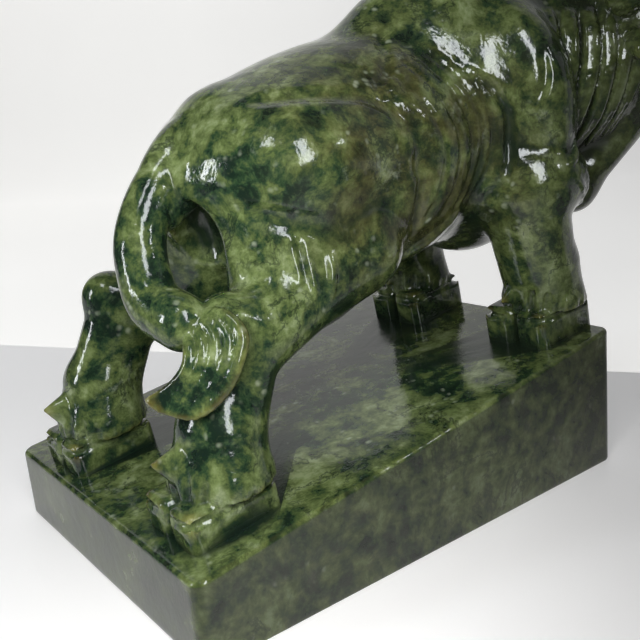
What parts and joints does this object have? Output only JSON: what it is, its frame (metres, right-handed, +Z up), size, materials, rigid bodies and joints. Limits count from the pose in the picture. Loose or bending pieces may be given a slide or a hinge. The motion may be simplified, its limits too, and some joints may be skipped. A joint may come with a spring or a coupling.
{
  "type": "jade bull figurine",
  "caption": "Charging bull with head lowered and turned aside, carved in one block with a sloping wedge plinth; stands on a shelf by its own weight.",
  "frame": {"origin": "middle of the plinth's flat underside", "axes": "+X along the plinth from tail to head, +Y to the bull's left, +Z up"},
  "size_m": [0.1854, 0.1139, 0.1435],
  "materials": {
    "jade": "polished"
  },
  "bodies": {
    "root": {"jade_bull": "jade"}
  },
  "joints": []
}
